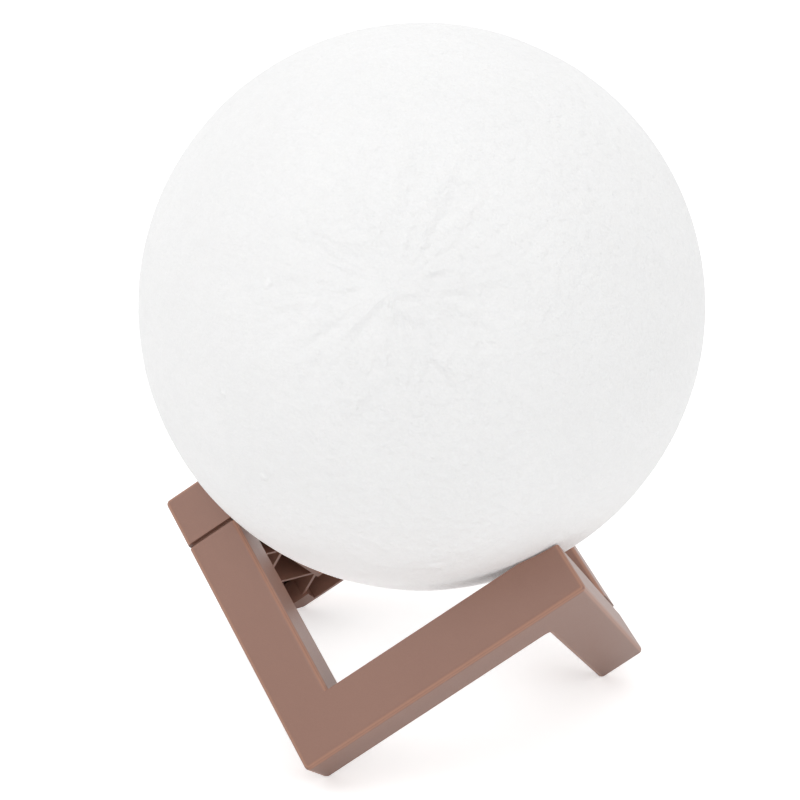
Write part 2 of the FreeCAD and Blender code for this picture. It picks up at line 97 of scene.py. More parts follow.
forward = (CAMERA_AIM - CAMERA_PLACE).normalized()
level_right = forward.cross(Vector((0, 0, 1))).normalized()
level_up = level_right.cross(forward)
right = level_right * math.cos(CAMERA_ROLL) + level_up * math.sin(CAMERA_ROLL)
up = right.cross(forward)
camera_turn = Matrix((right, up, -forward)).transposed().to_4x4()

camera = bpy.data.objects.new("camera", bpy.data.cameras.new("camera"))
bpy.context.scene.collection.objects.link(camera)
camera.matrix_world = Matrix.Translation(CAMERA_PLACE) @ camera_turn
camera.data.lens = LENS
camera.data.clip_end = FARTHEST_SEEN
bpy.context.scene.camera = camera
print("camera looks down by %.1f degrees" % math.degrees(math.asin(-forward.z)))

# %% [markdown]
# ## A short way to write shader nodes
#
# A finish is easier to read as a formula than as a list of boxes and links. `Wire` is the
# output of a node, and adding or multiplying wires adds the Math nodes for it. `Shading` holds
# a node tree; its `node` method makes any other node, sets its settings first, and then feeds
# its inputs with wires or plain values. `Finish` is the tree of one material.

# %% Wire, Shading and Finish
class Wire:
    """The output of a shader node, which Python arithmetic can combine."""

    def __init__(self, shading, socket):
        self.shading = shading
        self.socket = socket

    def combined(self, operation, other, turned=False):
        """A Math node on this wire and another value, in turned order if asked."""
        first, second = (other, self) if turned else (self, other)
        return self.shading.node("ShaderNodeMath", {"operation": operation}, {0: first, 1: second})

    def __add__(self, other):
        return self.combined("ADD", other)

    def __radd__(self, other):
        return self.combined("ADD", other, turned=True)

    def __sub__(self, other):
        return self.combined("SUBTRACT", other)

    def __rsub__(self, other):
        return self.combined("SUBTRACT", other, turned=True)

    def __mul__(self, other):
        return self.combined("MULTIPLY", other)

    def __rmul__(self, other):
        return self.combined("MULTIPLY", other, turned=True)


class Shading:
    """The node tree of a material or of the world."""

    def __init__(self, tree):
        self.tree = tree

    def feed(self, socket, value):
        """Link a wire to a socket, or set the socket to a plain value."""
        if isinstance(value, Wire):
            self.tree.links.new(value.socket, socket)
        else:
            socket.default_value = value

    def node(self, kind, settings, inputs, output=0):
        """Add a node, set it, feed its inputs and return one of its outputs."""
        made = self.tree.nodes.new(kind)
        stops = settings.pop("stops", None)
        for key, value in settings.items():
            setattr(made, key, value)
        if stops:
            set_stops(made.color_ramp, stops)
        for key, value in inputs.items():
            self.feed(made.inputs[key], value)
        return Wire(self, made.outputs[output])

    def larger(self, first, second):
        """The larger of two numbers."""
        return self.node("ShaderNodeMath", {"operation": "MAXIMUM"}, {0: first, 1: second})

    def seen(self, *kinds):
        """1 for rays of these kinds, and 0 for all others."""
        found = 0.0
        for kind in kinds:
            found = self.larger(self.node("ShaderNodeLightPath", {}, {}, "Is %s Ray" % kind), found)
        return found


class Finish(Shading):
    """One material and its nodes, ending in the Principled shader."""

    def __init__(self, name, **constants):
        self.material = bpy.data.materials.new(name)
        self.material.use_nodes = True
        super().__init__(self.material.node_tree)
        self.shader = self.tree.nodes["Principled BSDF"]
        for socket, value in constants.items():
            self.feed(self.shader.inputs[socket.replace("_", " ")], value)

    def place(self):
        """The surface's own coordinates, in metres, which move with the piece."""
        return self.node("ShaderNodeTexCoord", {}, {}, "Object")

    def grain(self, size, detail=3.0, roughness=0.55, place=None):
        """Noise from 0 to 1 whose lumps are about this size, in metres."""
        inputs = {"Vector": place or self.place(), "Scale": 1 / size, "Detail": detail,
                  "Roughness": roughness}
        return self.node("ShaderNodeTexNoise", {}, inputs, "Fac")

    def mixed(self, share, first, second):
        """A colour between two others, which may be wires."""
        return self.node("ShaderNodeMix", {"data_type": "RGBA"},
                         {0: share, 6: first, 7: second}, 2)

    def ramp(self, wire, *stops):
        """A number that follows the wire through (place, value) stops."""
        return self.node("ShaderNodeValToRGB", {"stops": stops}, {"Fac": wire})

    def bumped(self, height, depth):
        """A normal from a height, where a height of 1 stands for this depth, in metres."""
        return self.node("ShaderNodeBump", {}, {"Height": height, "Distance": depth})

    def set(self, **inputs):
        """Feed the Principled shader and return the material."""
        for socket, value in inputs.items():
            self.feed(self.shader.inputs[socket.replace("_", " ")], value)
        return self.material


def set_stops(color_ramp, stops):
    """Give a ramp its (place, grey) stops."""
    while len(color_ramp.elements) > 1:
        color_ramp.elements.remove(color_ramp.elements[-1])
    for number, (position, grey) in enumerate(stops):
        element = color_ramp.elements[0] if number == 0 else color_ramp.elements.new(position)
        element.position = position
        element.color = (grey, grey, grey, 1)


def colour(red, green, blue):
    """A colour from 0 to 255, as pictures hold it, turned into the shader's linear values."""
    def linear(value):
        share = value / 255
        return share / 12.92 if share <= 0.04045 else ((share + 0.055) / 1.055) ** 2.4
    return (linear(red), linear(green), linear(blue), 1.0)


print("a mid grey of 128 becomes %.3f" % colour(128, 128, 128)[0])

# %% [markdown]
# ## Small tools for edit mode
#
# Operators act on whatever is selected, and the loaded nodes are still selected, so everything
# is let go before a new primitive is added. Vertices are then chosen by their place.

# %% Tools for modelling
def let_go():
    """Leave edit mode and select nothing."""
    if bpy.context.object and bpy.context.object.mode == "EDIT":
        bpy.ops.object.mode_set(mode="OBJECT")
    bpy.ops.object.select_all(action="DESELECT")


def named(name):
    """Name the primitive that was just added."""
    piece = bpy.context.object
    piece.name = name
    piece.data.name = name
    return piece


def choose(piece, test):
    """In edit mode, select the vertices whose place passes the test."""
    bpy.ops.mesh.select_mode(type="VERT")
    bpy.ops.mesh.select_all(action="DESELECT")
    mesh = bmesh.from_edit_mesh(piece.data)
    for vertex in mesh.verts:
        vertex.select = test(vertex.co)
    mesh.select_flush_mode()
    bmesh.update_edit_mesh(piece.data)


def settle(piece):
    """Put a piece's place, turn and size into its mesh, so that its object sits at the origin."""
    let_go()
    piece.select_set(True)
    bpy.context.view_layer.objects.active = piece
    bpy.ops.object.transform_apply(location=True, rotation=True, scale=True)


def triangles(piece):
    """How many triangles a piece's faces make."""
    return sum(len(face.vertices) - 2 for face in piece.data.polygons)


def enclosed(piece):
    """Volume inside a closed mesh, which is negative if its faces point inwards."""
    mesh = bmesh.new()
    mesh.from_mesh(piece.data)
    volume = mesh.calc_volume(signed=True)
    mesh.free()
    return volume


# %% [markdown]
# ## The moon: a ball with a round opening
#
# The real shell is a two millimetre wall, open at the back for the base unit, with a collar and
# a narrow flange inside the opening. A ball with meridians is the right start, because its poles
# can lie on the base axis: the front pole is where the relief's meridians meet, and the rings
# round the other pole are cut away for the opening. It is modelled standing on its axis, and
# turned into place at the end.

# %% Model the outer wall
MERIDIANS = 400
PARALLELS = 200
OPENING_RADIUS = 23 * MM
RIM_MARGIN = 0.3 * MM       # the ball's rings that come closer to the rim than this go too
RING_SLACK = 0.01 * MM      # a ring's points lie at one height, to within this

rim_height = math.sqrt(MOON_RADIUS ** 2 - OPENING_RADIUS ** 2)
let_go()
bpy.ops.mesh.primitive_uv_sphere_add(segments=MERIDIANS, ring_count=PARALLELS, radius=MOON_RADIUS)
moon = named("moon")
bpy.ops.object.mode_set(mode="EDIT")
choose(moon, lambda place: place.z > rim_height - RIM_MARGIN)
bpy.ops.mesh.delete(type="VERT")
top_ring = max(vertex.co.z for vertex in bmesh.from_edit_mesh(moon.data).verts)
choose(moon, lambda place: place.z > top_ring - RING_SLACK)


def move_ring(now, radius, height):
    """Give the selected ring a new radius and height; now is its (radius, height)."""
    size = radius / now[0]
    bpy.ops.transform.resize(value=(size, size, 1))
    bpy.ops.transform.translate(value=(0, 0, height - now[1]))
    return radius, height


move_ring((math.sqrt(MOON_RADIUS ** 2 - top_ring ** 2), top_ring), OPENING_RADIUS, rim_height)
bpy.ops.object.mode_set(mode="OBJECT")
print("outer wall:", len(moon.data.vertices), "vertices")

# %% [markdown]
# The lining is everything inside the rim: the bore of the opening, the flange, the collar and
# the inner wall. It starts as a circle with as many points as the ball has meridians. The circle
# is extruded again and again, and each new ring gets the radius and height that the section has
# there, until the last one closes at the far pole. Then both pieces are joined, and their two
# rims are merged. They are made apart because each operator takes longer on the big ball.

# %% Model the lining and join the two
FLANGE_RADIUS = 18.9 * MM
FLANGE_TOP = 64.9 * MM
FLANGE_LOW = 62.4 * MM
COLLAR_RADIUS = 25 * MM
INNER_RADIUS = 73 * MM
INNER_RINGS = 22
MERGE_REACH = 0.005 * MM

let_go()
bpy.ops.mesh.primitive_circle_add(vertices=MERIDIANS, radius=OPENING_RADIUS,
                                  location=(0, 0, rim_height))
named("lining")
bpy.ops.object.mode_set(mode="EDIT")
bpy.ops.mesh.select_mode(type="EDGE")
bpy.ops.mesh.select_all(action="SELECT")
section = [(OPENING_RADIUS, FLANGE_TOP), (FLANGE_RADIUS, FLANGE_TOP),
           (FLANGE_RADIUS, FLANGE_LOW), (COLLAR_RADIUS, FLANGE_LOW)]
collar_angle = math.asin(COLLAR_RADIUS / INNER_RADIUS)
for number in range(INNER_RINGS):
    angle = collar_angle + (math.pi - collar_angle) * number / INNER_RINGS
    section.append((INNER_RADIUS * math.sin(angle), INNER_RADIUS * math.cos(angle)))
ring = (OPENING_RADIUS, rim_height)
for radius, height in section:
    bpy.ops.mesh.extrude_edges_move()
    ring = move_ring(ring, radius, height)
bpy.ops.mesh.extrude_edges_move()
bpy.ops.transform.translate(value=(0, 0, -INNER_RADIUS - ring[1]))
bpy.ops.mesh.merge(type="CENTER")
bpy.ops.object.mode_set(mode="OBJECT")

moon.select_set(True)
bpy.context.view_layer.objects.active = moon
bpy.ops.object.join()
bpy.ops.object.mode_set(mode="EDIT")
bpy.ops.mesh.select_all(action="DESELECT")
bpy.ops.mesh.select_mode(type="VERT")
bpy.ops.mesh.select_non_manifold()
bpy.ops.mesh.remove_doubles(threshold=MERGE_REACH)
bpy.ops.mesh.select_all(action="SELECT")
bpy.ops.mesh.normals_make_consistent(inside=False)
bpy.ops.object.mode_set(mode="OBJECT")
print("shell:", len(moon.data.vertices), "vertices,", triangles(moon), "triangles,",
      "%.1f cubic cm of wall" % (enclosed(moon) * 1e6))

# %% [markdown]
# ## Which way the moon is turned
#
# The relief is worked out on the ball's own axis, but parts of it have a place in the
# photograph. So the turn from the ball's own axis into the lamp is settled first. The ball's Z is
# the base axis, its Y points up and its X to the left, seen from the front. `seen_at` follows
# the camera's ray through a pixel to the ball, and gives that place as a direction on the ball.

# %% The ball's turn, and places on it
PICTURE_SIDE = 800
SENSOR = 36.0               # the width of Blender's camera sensor, in millimetres
WRINKLE_PIXEL = (393, 290)  # where the wrinkles run together
FRONT_POLE = DOWN           # on the ball's own axes, whose Z points to the opening

leftward = Vector((0, 0, 1)).cross(base_axis).normalized()
upward = base_axis.cross(leftward)
moon_turn = Matrix((leftward, upward, base_axis)).transposed()


def seen_at(across, down):
    """Direction on the ball, in its own axes, of the place that shows at a pixel."""
    pixel = SENSOR / LENS / PICTURE_SIDE
    ray = forward + right * (across - PICTURE_SIDE / 2) * pixel
    ray = (ray - up * (down - PICTURE_SIDE / 2) * pixel).normalized()
    to_centre = moon_centre - CAMERA_PLACE
    middle = to_centre.dot(ray)
    inside = MOON_RADIUS ** 2 - (to_centre.length_squared - middle ** 2)
    hit = ray * (middle - math.sqrt(max(0.0, inside))) - to_centre
    return (moon_turn.transposed() @ hit).normalized()


print("the wrinkles run together %.1f degrees from the front pole"
      % math.degrees(seen_at(*WRINKLE_PIXEL).angle(FRONT_POLE)))

# %% [markdown]
# ## The moon's relief
#
# Such a shell carries a shallow relief of the moon, less than a millimetre deep. Its larger
# forms are modelled here. Broad plains lie a little lower than the highlands round them. Craters
# are bowls with a raised rim, many small ones and few large ones. Lumps cover everything, and
# are strongest towards the upper right of the photograph. Wrinkles run outwards from the front
# pole, because the relief was wrapped round the ball from a flat map, whose rows shrink to a
# point there. Forms too narrow for the mesh, whose points lie about a millimetre apart, are
# left to the finish further down.
#
# Moving each vertex by a formula gives all this at a known depth, and the same relief on each
# run. A sculpted surface would give neither, and a bump alone would leave the outline bare.

# %% Noise on the ball
SEED_STEP = (7.13, 3.71, 5.37)      # how far apart two seeds read the noise
SOFTENING = 0.9                     # a higher value makes each finer layer fainter
LAYER_RATIO = 2.1                   # how much finer each layer is than the one before


def lumps(direction, size, seed, octaves):
    """Smooth noise of about -1 to 1, whose lumps are this size on the ball, in metres."""
    shift = Vector([seed * step for step in SEED_STEP])
    return noise.fractal(direction * (MOON_RADIUS / size) + shift, SOFTENING, LAYER_RATIO, octaves,
                         noise_basis="PERLIN_ORIGINAL")


def smooth_step(low, high, value):
    """0 below low, 1 above high, and smooth between them."""
    share = min(1, max(0, (value - low) / (high - low)))
    return share * share * (3 - 2 * share)


print("lumps at the front pole: %.3f" % lumps(FRONT_POLE, 3 * MM, seed=1, octaves=3))

# %% [markdown]
# A crater is a bowl: its floor is deepest in the middle, rises towards the edge, and ends in a
# rim that falls off outwards. Only the craters near a vertex matter to it, so they are sorted
# into bands of latitude first.

# %% Craters
CRATERS = 420
CRATER_SEED = 7
SMALLEST_CRATER = 0.8 * MM
LARGEST_CRATER = 6.5 * MM
SMALL_BIAS = 7              # a higher power makes more of them small
CRATER_STEEPNESS = 0.022    # depth for each metre of radius, on top of the least depth
LEAST_CRATER_DEPTH = 0.025 * MM
BOWL_POWER = 2.6            # 2 would be a parabola, and more gives a flatter floor
RIM_SHARE = 0.35            # the rim's height, in depths
RIM_WIDTH = 0.28            # how fast the rim falls off outwards, in radii
CRATER_REACH = 1.8          # where the rim has faded out, in radii
BAND = math.radians(4)


def crater_height(share):
    """Height in depths, at a share of the crater's radius from its middle."""
    if share < 1:
        return (1 + RIM_SHARE) * share ** BOWL_POWER - 1
    return RIM_SHARE * math.exp(-((share - 1) / RIM_WIDTH) ** 2)


def make_craters():
    """Seeded craters as (direction, radius, depth), mostly small."""
    noise.seed_set(CRATER_SEED)
    made = []
    for _ in range(CRATERS):
        direction = noise.random_unit_vector()
        radius = (SMALLEST_CRATER
                  + (LARGEST_CRATER - SMALLEST_CRATER) * noise.random() ** SMALL_BIAS)
        made.append((direction, radius, LEAST_CRATER_DEPTH + CRATER_STEEPNESS * radius))
    return made


def polar_angle(direction):
    """Angle from the ball's +Z, the middle of the opening."""
    return math.acos(max(-1.0, min(1.0, direction.z)))


def by_band(craters):
    """The craters that reach into each band of latitude."""
    bands = {}
    for crater in craters:
        reach = CRATER_REACH * crater[1] / MOON_RADIUS
        middle = polar_angle(crater[0])
        for band in range(int((middle - reach) / BAND) - 1, int((middle + reach) / BAND) + 2):
            bands.setdefault(band, []).append(crater)
    return bands


crater_bands = by_band(make_craters())


def crater_relief(direction):
    """Height of all the craters at a place, in metres."""
    height = 0.0
    for middle, radius, depth in crater_bands.get(int(polar_angle(direction) / BAND), ()):
        share = MOON_RADIUS * middle.angle(direction) / radius
        if share < CRATER_REACH:
            height += depth * crater_height(share)
    return height


print(CRATERS, "craters in", len(crater_bands), "bands")

# %% [markdown]
# The wrinkles are grooves cut by a noise that is read from the direction round the pole, so they
# run outwards. The mesh suits them, because its meridians run outwards too and lie close
# together there. The place is slightly bent first, so that they aren't ruled. One noise holds
# few wrinkles and serves close to the pole, the other holds many and takes over further out, so
# that their width stays nearly the same. Each is written as how closely its wrinkles lie round
# the pole, and how strong they are at shares of the reach.

# %% Wrinkles
WRINKLE_REACH = 36 * MM
WRINKLE_LENGTH = 15 * MM
WRINKLE_BEND = 5 * MM
BEND_SIZE = 10 * MM
NEAR_WRINKLES = (1.9, ((0.0, 0.0), (0.06, 0.7), (0.20, 1.0), (0.42, 0.0)))
FAR_WRINKLES = (4.4, ((0.12, 0.0), (0.35, 0.9), (0.70, 1.0), (1.0, 0.0)))
GROOVE_DEPTH = 0.38 * MM
GROOVE_NOISE = (-0.1, 0.5)      # the noise at a groove's edge and at its floor
NOISE_GAP = 9                   # keeps the two noises from being alike


def between(stops, place):
    """The value at a place, on straight lines through (place, value) stops."""
    for (low, first), (high, second) in zip(stops, stops[1:]):
        if low <= place <= high:
            return first + (second - first) * (place - low) / (high - low)
    return 0.0


def grooves(direction):
    """Depth of the grooves, in metres, on the ball's own axes."""
    if direction.z > 0:
        return 0.0
    bend = WRINKLE_BEND / MOON_RADIUS * lumps(direction, BEND_SIZE, seed=4, octaves=2)
    across, upwards = direction.x + bend, direction.y - bend
    away = math.hypot(across, upwards)
    share = MOON_RADIUS * away / WRINKLE_REACH
    depth = 0.0
    for number, (around, stops) in enumerate((NEAR_WRINKLES, FAR_WRINKLES)):
        strength = between(stops, share)
        if strength > 0:
            place = Vector((across, upwards, 0)) * (around / away)
            place.z = MOON_RADIUS * away / WRINKLE_LENGTH + NOISE_GAP * number
            depth += strength * smooth_step(*GROOVE_NOISE, noise.noise(place))
    return GROOVE_DEPTH * depth


above_pole = Vector((0, 10 * MM, -MOON_RADIUS)).normalized()
print("grooves 10 mm above the pole: %.3f mm" % (grooves(above_pole) / MM))

# %% [markdown]
# The plains and the lumps are added to that. The lumps are two noises, one three times as broad
# as the other. They are weaker on the plains, and strongest round the rough place.

# %% The whole relief
PLAIN_DEPTH = 0.10 * MM
PLAIN_SIZE = 44 * MM
PLAIN_SHORE = (0.02, 0.30)      # the noise where a plain begins, and where it is fully low
LUMP_HEIGHT = 0.07 * MM
LUMP_SIZE = 3.2 * MM
ROUGH_PIXEL = (560, 160)
ROUGH_PLACE = seen_at(*ROUGH_PIXEL)
ROUGH_SPREAD = 0.55             # radians from the rough place to where it has mostly faded
ROUGH_LEAST = 0.45              # the lumps' strength far from it
ROUGH_EXTRA = 0.75              # and what its middle adds
PLAIN_CALM = 0.45               # what the plains take away


def relief(direction):
    """Height of the surface, in metres, before all of it is lowered into the ball."""
    plains = smooth_step(*PLAIN_SHORE, lumps(direction, PLAIN_SIZE, seed=3, octaves=3))
    from_rough = ROUGH_PLACE.angle(direction) / ROUGH_SPREAD
    rough = ROUGH_LEAST + ROUGH_EXTRA * math.exp(-from_rough ** 2)
    rough *= 1 - PLAIN_CALM * plains
    fine = lumps(direction, LUMP_SIZE, seed=1, octaves=3)
    fine += 0.5 * lumps(direction, 3 * LUMP_SIZE, seed=2, octaves=2)
    height = LUMP_HEIGHT * rough * fine - PLAIN_DEPTH * plains + crater_relief(direction)
    return height - grooves(direction)


print("relief at the front pole: %.3f mm" % (relief(FRONT_POLE) / MM))

# %% [markdown]
# The heights are measured first and then lowered together, so that the highest point just
# touches the ball's real radius. The rim of the opening stays a true circle: the relief fades
# out towards it. Only the outer wall is moved, and it is known by its distance from the centre.

# %% Move the outer wall's vertices
RIM_FADE = 6 * MM
WALL_SLACK = 0.2 * MM
rim_distance = MOON_RADIUS * math.asin(OPENING_RADIUS / MOON_RADIUS)


def rim_share(direction):
    """0 at the rim of the opening, rising smoothly to 1 where the relief is whole."""
    return smooth_step(0, RIM_FADE, MOON_RADIUS * polar_angle(direction) - rim_distance)


outer_wall = [vertex for vertex in moon.data.vertices
              if vertex.co.length > MOON_RADIUS - WALL_SLACK]
heights = [relief(vertex.co.normalized()) for vertex in outer_wall]
highest = max(heights)
for vertex, height in zip(outer_wall, heights):
    direction = vertex.co.normalized()
    vertex.co = direction * (MOON_RADIUS - (highest - height) * rim_share(direction))
print("relief runs from %.2f to 0 mm below the ball, %.2f on average"
      % ((highest - min(heights)) / MM, (highest - sum(heights) / len(heights)) / MM))

# %% [markdown]
# The shell is turned from its own axis onto the base unit's and moved to its place. Its faces
# are shaded smooth except across the sharp edges of the opening.

# %% Turn the shell into place
SHARP_EDGE = math.radians(40)

moon.matrix_world = Matrix.Translation(moon_centre) @ moon_turn.to_4x4()
settle(moon)
bpy.ops.object.shade_smooth_by_angle(angle=SHARP_EDGE)
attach(moon, "moon")
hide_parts("moon_shell")
print("moon spans", [round(side / MM, 2) for side in moon.dimensions], "mm")

# %% [markdown]
# ## The moon's finish
#
# The finish carries what the mesh can't. Narrower wrinkles lie between those of the mesh. A few
# small knobs stand out on the left and near the bottom, pebbly lumps cover the upper right and
# the lower middle, and the layers leave a powdery grain everywhere.
#
# All of them are heights, in millimetres, that one bump turns into a normal. They are steeper
# than on the real shell, because this studio is so even that true heights would hardly show.
# They are worked out in three cells, one for each kind, and added up in the last.

# %% The moon's material, and measures on its surface
moon_print = Finish("moon_print", Roughness=0.62, IOR=1.46, Subsurface_Weight=0.2,
                    Subsurface_Radius=(1.0, 0.98, 0.95), Subsurface_Scale=1.0 * MM)
surface = moon_print.place()


def vector(operation, first, second=(0.0, 0.0, 0.0), output="Vector"):
    """A Vector Math node of the moon's finish."""
    return moon_print.node("ShaderNodeVectorMath", {"operation": operation},
                           {0: first, 1: second}, output)


def along(direction):
    """How far the surface lies from the moon's centre along a direction, in metres."""
    return vector("DOT_PRODUCT", surface, tuple(direction), "Value") - moon_centre.dot(direction)


def share_towards(direction):
    """1 at the place on the ball that lies in this direction, 0 a quarter turn from it."""
    return along(direction) * (1 / MOON_RADIUS)


front_point = moon_centre + moon_turn @ FRONT_POLE * MOON_RADIUS
print("the front pole lies at", [round(value, 4) for value in front_point])

# %% [markdown]
# The fine wrinkles are made in the way of those in the mesh, with the same reach, length and
# bend, but from the shader's own noise. So they fall between the others. They rise and fall
# about zero, so that their fading leaves no dome or dent behind.

# %% Fine wrinkles
NEAR_HEIGHT = 0.5
FAR_HEIGHT = 1.15

bend = (moon_print.grain(BEND_SIZE, 2.0, place=surface) - 0.5) * WRINKLE_BEND
across = along(leftward) + bend
upwards = along(upward) - bend
away = moon_print.node("ShaderNodeMath", {"operation": "SQRT"},
                       {0: across * across + upwards * upwards})
heading = vector("NORMALIZE", moon_print.node("ShaderNodeCombineXYZ", {},
                                              {"X": across, "Y": upwards}))
outward = moon_print.node("ShaderNodeCombineXYZ", {}, {"Z": away * (1 / WRINKLE_LENGTH)})


def wrinkles(around, stops):
    """Ridges and grooves that run outwards from the front pole, about -0.5 to 0.5."""
    ring = vector("MULTIPLY", heading, (around, around, 0.0))
    ridges = moon_print.grain(1.0, 1.0, 0.5, vector("ADD", ring, outward))
    return (ridges - 0.5) * moon_print.ramp(away * (1 / WRINKLE_REACH), *stops)


wrinkle_height = wrinkles(*NEAR_WRINKLES) * NEAR_HEIGHT + wrinkles(*FAR_WRINKLES) * FAR_HEIGHT
print("fine wrinkles reach %.0f mm from the pole" % (WRINKLE_REACH / MM))

# %% [markdown]
# The knobs look like drops of plastic that the printing left. Five of them show, and each is a
# round bump at its own place. The distance from that place, in radii of the knob, runs through a
# ramp that is high in the middle and falls to nothing at the edge.

# %% Knobs
KNOBS = [((267, 283), 1.5 * MM), ((223, 393), 1.3 * MM), ((263, 477), 1.4 * MM),
         ((363, 573), 2.2 * MM), ((437, 567), 2.6 * MM)]    # pixel and radius
KNOB_SHAPE = ((0.35, 1.0), (1.0, 0.0))
KNOB_HEIGHT = 0.25


def knob(pixel, radius):
    """One small round knob, from 0 to 1."""
    middle = moon_centre + moon_turn @ seen_at(*pixel) * MOON_RADIUS
    distance = vector("DISTANCE", surface, tuple(middle), "Value")
    return moon_print.ramp(distance * (1 / radius), *KNOB_SHAPE)


knob_share = 0.0
for pixel, radius in KNOBS:
    knob_share = knob(pixel, radius) + knob_share
print(len(KNOBS), "knobs")

# %% [markdown]
# Pebbly lumps cover the whole ball faintly. They grow towards the rough place, and in a smaller
# patch below the middle. The powder is the grain of the printed layers, and it is the same all
# over.

# %% Pebbles and powder
PEBBLE_SIZE = 2.5 * MM
PEBBLE_HEIGHT = 0.7
PEBBLES_TO_ROUGH = ((0.30, 0.40), (0.95, 1.0))
LOW_PIXEL = (400, 490)
PEBBLES_TO_LOW = ((0.86, 0.0), (0.98, 0.45))
POWDER_SIZE = 0.6 * MM
POWDER_HEIGHT = 0.13

rough_share = moon_print.ramp(share_towards(moon_turn @ ROUGH_PLACE), *PEBBLES_TO_ROUGH)
low_share = moon_print.ramp(share_towards(moon_turn @ seen_at(*LOW_PIXEL)), *PEBBLES_TO_LOW)
pebbles = moon_print.grain(PEBBLE_SIZE, 2.0, 0.5, surface)
powder = moon_print.grain(POWDER_SIZE, 2.0, place=surface)
height = pebbles * (rough_share + low_share) * PEBBLE_HEIGHT + powder * POWDER_HEIGHT
height = height + wrinkle_height + knob_share * KNOB_HEIGHT
print(len(moon_print.tree.nodes), "nodes make the fine relief")

# %% [markdown]
# Printed plastic of this kind is white and matt, with broad faint clouds, smaller mottles and a
# fine speckle, and its knobs look a little lighter than the rest. Its thin wall also carries
# light from the bright side to the shaded one, so that the underside is nearly as bright as the
# front in the photograph. The subsurface share spreads light over a millimetre or so, which
# softens the relief, but it can't carry it round the ball. A faint glow that rises towards the
# lowest point stands for that light.

# %% Printed plastic
CLOUD_SIZE = 38 * MM
CLOUD_EDGES = ((0.35, 0.0), (0.68, 1.0))
MOTTLE_SIZE = 3.0 * MM
MOTTLE_EDGES = ((0.35, 0.0), (0.65, 1.0))
MOTTLE_SHARE = 0.2
SPECKLE_SHARE = 0.5
KNOB_PALENESS = 0.6
GLOW = ((0.0, 0.0), (0.33, 0.02), (0.5, 0.05), (0.68, 0.10), (0.76, 0.19), (0.85, 0.36),
        (0.92, 0.46), (1.0, 0.52))      # against the share of the way down to the lowest point

cloud = moon_print.ramp(moon_print.grain(CLOUD_SIZE, 2.0, place=surface), *CLOUD_EDGES)
white = moon_print.mixed(cloud, colour(248, 248, 248), colour(252, 252, 252))
mottles = moon_print.ramp(moon_print.grain(MOTTLE_SIZE, 4.0, 0.6, surface), *MOTTLE_EDGES)
white = moon_print.mixed(mottles * MOTTLE_SHARE, white, colour(238, 238, 238))
white = moon_print.mixed(powder * SPECKLE_SHARE, white, colour(232, 232, 232))
white = moon_print.mixed(knob_share * KNOB_PALENESS, white, colour(254, 254, 254))
glow = moon_print.ramp(share_towards(DOWN), *GLOW)
moon.data.materials.append(moon_print.set(
    Base_Color=white, Emission_Color=glow, Emission_Strength=1.0,
    Normal=moon_print.bumped(height, 1.0 * MM)))
print("moon finished:", triangles(moon), "triangles")

# %% [markdown]
# ## The stand's finish
#
# The stand is moulded in brown plastic with a fine spark-eroded grain. Its own brown is deep and
# reddish, as the shaded hollows between the ribs show. The outer faces look paler and greyer
# only because they mirror the bright studio, and the shader's own reflection does that. So the
# faces get one even brown with faint clouds in it, and the gloss is a little uneven with the
# grain.
#
# Along the rounded edges the plastic is thin enough for light to pass, and a lighter, tanner
# line follows every edge. This line is painted light: the light that comes through the thin edges
# and their highlight are painted into the base colour as a tan band. It could be painted by hand.
# It is quicker to find the edges by their normals: the bars have flat faces in only three
# directions, at right angles to each other, and on a rounded edge the normal lies between two of
# them. The three directions are measured on the stand's own mesh, by the area of the faces that
# look each way. The slanted ribs inside the bars look half-way between two directions as well, so
# their own slant is measured too, and the painted line starts just outside it.

# %% The directions of the stand's faces
RIGHT_ANGLE_SLACK = 0.1     # the dot product of two faces that still count as square
FLAT_FROM = 0.9             # faces flatter than this belong to the bars' walls, not the ribs
LEAST_RIB_AREA = 1e-4       # square metres, more than a rounded edge has in any one direction


def area_by_direction(node):
    """The area of a piece's surface, in square metres, that looks in each direction."""
    areas = {}
    for face in node.data.polygons:
        direction = Vector([round(value, 2) for value in face.normal]).normalized().freeze()
        areas[direction] = areas.get(direction, 0.0) + face.area
    return areas


def flatness(direction):
    """1 for a direction straight across a bar's face, and less between two faces."""
    return max(abs(direction.dot(other)) for other in bar_directions)


stand_areas = area_by_direction(frame["nodes"]["stand_front_half"])
bar_directions = []
for direction in sorted(stand_areas, key=stand_areas.get, reverse=True):
    if all(abs(direction.dot(other)) < RIGHT_ANGLE_SLACK for other in bar_directions):
        bar_directions.append(direction)
rib_flatness = max(flatness(direction) for direction, area in stand_areas.items()
                   if area > LEAST_RIB_AREA and flatness(direction) < FLAT_FROM)
print("the bars' faces look along", [tuple(round(value, 2) for value in direction)
                                     for direction in bar_directions])
print("the slanted ribs turn %.0f degrees from them" % math.degrees(math.acos(rib_flatness)))

# %% [markdown]
# The shader works out the same flatness: the largest of three dot products between the surface's
# normal and the bars' directions. A ramp on it places the painted edge light: a tan line of painted
# light and highlight along the edges.

# %% Moulded brown plastic
# stops of the painted edge light against flatness: where the tan band of painted light and
# highlight lies
EDGE_LIGHT_STOPS = ((rib_flatness + 0.005, 0.0),      # just outside the ribs' slant
              (rib_flatness + 0.015, 1.0),
              (0.90, 1.0),
              (0.995, 0.0))                     # where the bars' flat faces begin
STAND_CLOUD = 24 * MM
STAND_GRIT = 0.45 * MM
GRIT_DEPTH = 0.03 * MM
GRIT_SHARE = 0.35           # how much of the darker brown the grit brings
STAND_ROUGHNESS = 0.28
GRIT_ROUGHNESS = 0.14       # what the grit adds to it

